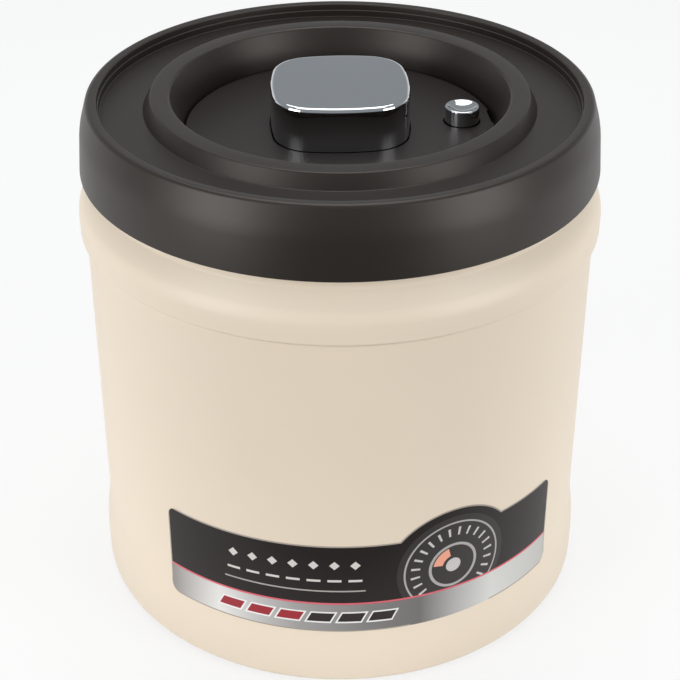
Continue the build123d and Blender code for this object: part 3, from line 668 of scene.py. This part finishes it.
def bowed_block(name, grow, low, high):
    """Draw the pump button's bowed square with eight arcs and raise it to a block.

    Its four sides bow out on a wide radius, and grow moves the outline outwards."""
    half, bow, corner = button_half + grow, button_bow + grow, button_corner + grow
    side = bow - half
    centre = (sqrt(2 * (bow - corner) ** 2 - side**2) - side) / 2
    lean = atan2(centre, centre + side)
    start = Vector((bow * cos(lean) - side, -bow * sin(lean), low))
    block = first_point(name, start * MM)
    for quarter in range(4):
        facing = Matrix.Rotation(quarter * pi / 2, 3, "Z")
        for middle, swing, steps in (
            ((-side, 0, low), 2 * lean, side_steps),
            ((centre, centre, low), pi / 2 - 2 * lean, corner_steps),
        ):
            bpy.ops.mesh.spin(
                steps=steps,
                angle=-swing,
                center=facing @ Vector(middle) * MM,
                axis=(0, 0, 1),
            )
    bpy.ops.mesh.select_all(action="SELECT")
    bpy.ops.mesh.remove_doubles(threshold=touching)
    bpy.ops.mesh.edge_face_add()
    rise = (0, 0, (high - low) * MM)
    bpy.ops.mesh.extrude_region_move(TRANSFORM_OT_translate={"value": rise})
    bpy.ops.mesh.select_all(action="SELECT")
    bpy.ops.mesh.normals_make_consistent(inside=False)
    bpy.ops.object.mode_set(mode="OBJECT")
    return block


plate_radius, plate_top = 44.6, 146.8
under_plate, over_plate = 144, 148
button_gap, release_well = 0.35, 5.4
notch_size, notch_turn = (2.0, 8.7, 4.0), radians(3.4)
plate = turned("bowl_disc", [
    (0, 144.8, 0),
    (43.4, 144.8, 0),
    (43.4, 142.9, 0),
    (plate_radius, 142.9, 0),
    (plate_radius, plate_top, 0.4),
    (0, plate_top, 0),
], steps=256)
bpy.ops.object.select_all(action="DESELECT")
bpy.ops.mesh.primitive_cube_add(size=MM, location=Vector((plate_radius, 0, plate_top)) * MM)
bpy.ops.transform.resize(value=notch_size)
bpy.ops.transform.rotate(value=-notch_turn, orient_axis="Z", center_override=(0, 0, 0))
bpy.ops.object.transform_apply()
pry_notch = bpy.context.object
button_hole = bowed_block("button_hole", button_gap, under_plate, over_plate)
release_hole = pin(release_well, under_plate, over_plate, (release_across, 0), sides=64)
cut(plate, button_hole, release_hole, pry_notch)
bpy.ops.object.shade_smooth_by_angle(angle=crease)
# a darker copy of the lid's brown: painted shade on the plate
shaded_plate_brown = eroded_plastic(
    "dark_brown_plate_plastic", colour(27, 22, 20), roughness=0.43
)
finish_piece(plate, "lid", "brown_lid", shaded_plate_brown, "center_plate")

# Screws. Small pan-head steel screws. Six hold the lid together, four hold the
# pump's cylinder, and one joins the button to the piston.
screw_steel = brushed_steel(
    "screw_steel", colour(190, 188, 184), roughness=0.35, stretch=(1, 1, 0.2)
)
dress(screw_steel, "lid_screws", "cylinder_screws", "button_screw")

# Pump cylinder and piston. White plastic mouldings deep in the lid. The
# cylinder screws to the lid base, and the piston hangs from the button.
white_plastic = moulded_plastic(
    "white_pump_plastic",
    colour(228, 228, 224),
    roughness=0.35,
    grain=0.006,
    gloss=0.5,
    mottle=0.01,
)
dress(white_plastic, "pump_cylinder", "pump_piston")

# Valves and seals. Soft pale grey silicone: two umbrella valves, the piston's
# lip ring and the plug of the release valve.
grey_silicone = rubber("grey_silicone", colour(196, 192, 186), roughness=0.55, scuff=0.05)
dress(grey_silicone, "intake_valve", "outlet_valve", "piston_seal", "release_plug")

# Dust filter. A pad of white felt that lies on the filter cap's floor and keeps
# crumbs out of the pump.
felt = Finish(bpy.data.materials.new("white_felt"))
tufts = felt.noise(1.4, 6.0)
felt_cloth = felt.surface(
    Base_Color=felt.mix(tufts, colour(206, 202, 192), colour(236, 233, 226)),
    Roughness=0.95,
    Normal=felt.bump(tufts, 0.2),
)
dress(felt_cloth, "dust_filter")

# Springs and stem. Drawn stainless wire and a turned steel pin. The springs push
# the buttons back up. Each is a copy of its CAD coil.
drawn_steel = brushed_steel(
    "drawn_spring_steel", colour(200, 198, 194), roughness=0.25, stretch=(1, 1, 1)
)
dress(drawn_steel, "release_stem")
for coil_name, node, joint, stroke in (
    ("pump_coil", "pump_spring", "pump_press", 11.0),
    ("release_coil", "release_spring", "release_press", 2.5),
):
    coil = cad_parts[node].copy()
    coil.data = coil.data.copy()
    coil.name = coil.data.name = coil_name
    bpy.context.collection.objects.link(coil)
    bpy.ops.object.select_all(action="DESELECT")
    coil.select_set(True)
    bpy.context.view_layer.objects.active = coil
    bpy.ops.object.mode_set(mode="EDIT")
    bpy.ops.mesh.select_all(action="SELECT")
    bpy.ops.mesh.remove_doubles(threshold=touching)
    bpy.ops.object.mode_set(mode="OBJECT")
    bpy.ops.object.shade_smooth_by_angle(angle=crease)
    finish_piece(coil, "lid", "spring_steel", drawn_steel, node)
    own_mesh(coil)

# Button carrier. The dark plastic body inside the pump button. Its lip stops
# under the centre plate.
dress(brown, "button_carrier")


# Pump button. A chrome-plated cap with a flat top, bowed sides and a rounded
# edge. It is hollow and sits on the carrier.
def plated(name, shade, roughness):
    """Bright chrome plating: a clean mirror with hardly visible haze."""
    finish = Finish(bpy.data.materials.new(name))
    haze = finish.noise(0.06, 3.0)
    wipe = finish.noise(0.9, 4.0, (1, 0.15, 1))
    dull = tuple(part * 0.96 for part in shade[:3]) + (1,)
    return finish.surface(
        Base_Color=finish.mix(haze, dull, shade),
        Metallic=1.0,
        Roughness=roughness + haze * 0.02 + wipe * 0.015,
    )


chrome = plated("chrome_plating", colour(208, 210, 213), roughness=0.03)
cap_foot, cap_top, cap_round = 144.75, 159.8, 1.3
cap_wall, hollow_foot, hollow_top = 1.2, 144, 158.4
cap = bowed_block("button_cap", 0, cap_foot, cap_top)
bpy.ops.object.mode_set(mode="EDIT")
bpy.ops.mesh.select_mode(type="EDGE")
bpy.ops.mesh.select_all(action="DESELECT")
pick(cap, "edges", lambda edge: min(v.co.z for v in edge.verts) > (cap_top - 0.1) * MM)
bpy.ops.mesh.bevel(offset=cap_round * MM, segments=9, affect="EDGES")
bpy.ops.mesh.select_mode(type="VERT")
bpy.ops.object.mode_set(mode="OBJECT")
cut(cap, bowed_block("cap_hollow", -cap_wall, hollow_foot, hollow_top))
bpy.ops.object.shade_smooth_by_angle(angle=crease)
finish_piece(cap, "pump", "chrome_plate", chrome, "pump_button")

# Release button. A small turned and plated button with a dished top that lets a
# fingertip find it. It is hollow below for its spring.
release = turned("release_knob", [
    (0, 149.0, 0),
    (1.45, 149.0, 0),
    (1.45, 146.0, 0),
    (4.0, 146.0, 0),
    (4.0, 142.5, 0),
    (5.0, 142.5, 0.1),
    (5.0, 151.5, 0.45),
    (4.2, 151.5, 0.3),
    (2.2, 150.3, 6),
    (0, 150.3, 0),
], steps=96)
bpy.ops.object.mode_set(mode="EDIT")
bpy.ops.mesh.select_all(action="SELECT")
bpy.ops.transform.translate(value=(release_across * MM, 0, 0))
bpy.ops.object.mode_set(mode="OBJECT")
finish_piece(release, "release", "chrome_plate", chrome, "release_button")


# Table. A white studio table, in metres. Its front edge is just in front of the
# canister, so that the lid's front doesn't mirror it.
def not_diffuse(finish):
    """Be 1 for what is seen, also in a mirror or through glass, and 0 for soft light."""
    seen, mirrored, through = (
        finish.add("LightPath", output=f"Is {ray} Ray")
        for ray in ("Camera", "Glossy", "Transmission")
    )
    return seen + mirrored + through


table_size, table_front, table_drop = 2.0, -0.12, 0.05 * MM
table_middle = (0, table_front + table_size / 2, -table_drop)
bpy.ops.object.select_all(action="DESELECT")
bpy.ops.mesh.primitive_plane_add(size=table_size, location=table_middle)
table = bpy.context.object
table.name = "table"
table_finish = Finish(bpy.data.materials.new("white_table"))
lit = table_finish.add("BsdfDiffuse", sockets={"Color": (0.85, 0.85, 0.85, 1)})
white = table_finish.add("Emission", sockets={"Color": (1, 1, 1, 1), "Strength": 1.0})
whiteness = not_diffuse(table_finish) * 0.75
paint = table_finish.add("MixShader", sockets={0: whiteness, 1: lit, 2: white})
table.data.materials.append(table_finish.close(paint))

# World and lights. A grey room, darker below, whose white back wall lights the
# canister less than it shows, a soft light overhead and a tall one at each side.
studio = bpy.data.worlds.new("studio")
bpy.context.scene.world = studio
sky = Finish(studio, "ShaderNodeOutputWorld")
_, backward, upward = sky.axes(sky.add("TexCoord", output="Generated"))
low = sky.add("MapRange", sockets={"Value": upward, "From Min": 0.38, "From Max": 0.1})
behind = sky.add("MapRange", sockets={"Value": backward, "From Min": 0.0, "From Max": 0.5})
grey = sky.add("ValToRGB", {"stops": [
    (0.47, (0.18, 0.18, 0.18, 1)),
    (0.53, (0.345, 0.365, 0.38, 1)),
]}, {0: upward * 0.5 + 0.5})
wall = low * behind * (0.3 + 0.7 * not_diffuse(sky))
room = sky.mix(wall, grey, (1, 1, 1, 1))
sky.close(sky.add("Background", sockets={"Color": room}))
for name, place, aim, width, length, power in (
    ("overhead", (0, 0.22, 1.1), (0, 0, 0.15), 0.9, 0.7, 6.0),
    ("left", (-0.88, -0.66, 0.3), (0, 0, 0.12), 0.62, 1.0, 9.0),
    ("right", (0.88, -0.66, 0.3), (0, 0, 0.12), 0.62, 1.0, 8.0),
):
    light = bpy.data.lights.new(name, "AREA")
    light.shape = "RECTANGLE"
    light.size, light.size_y = width, length
    light.energy = power
    lamp = bpy.data.objects.new(name, light)
    lamp.location = place
    lamp.rotation_euler = (Vector(aim) - Vector(place)).to_track_quat("-Z", "Y").to_euler()
    lamp.visible_camera = False
    bpy.context.collection.objects.link(lamp)

view = bpy.context.scene.view_settings
view.view_transform = "Standard"
